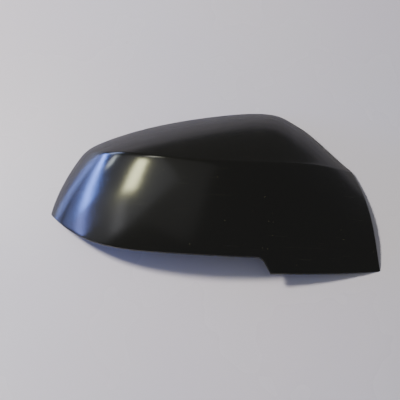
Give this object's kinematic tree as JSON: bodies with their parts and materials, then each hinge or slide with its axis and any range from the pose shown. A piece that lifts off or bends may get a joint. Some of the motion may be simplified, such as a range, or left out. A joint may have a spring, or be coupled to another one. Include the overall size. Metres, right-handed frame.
{
  "type": "wing mirror cover",
  "caption": "Glossy black shell that clips over the back of a car's door mirror housing, with a rolled crease and a stepped lower edge.",
  "frame": {"origin": "centre of the cover's box in plan, in the plane of the rim on which it lies", "axes": "+X towards the inboard end, beside the car's door; +Y towards the top rim of the mirror; +Z out of the crowned outer face"},
  "size_m": [0.236, 0.1231, 0.0569],
  "materials": {
    "black_moulding": "glossy black on the outer skin, plain satin inside"
  },
  "bodies": {
    "root": {"mirror_cover": "black_moulding"}
  },
  "joints": []
}
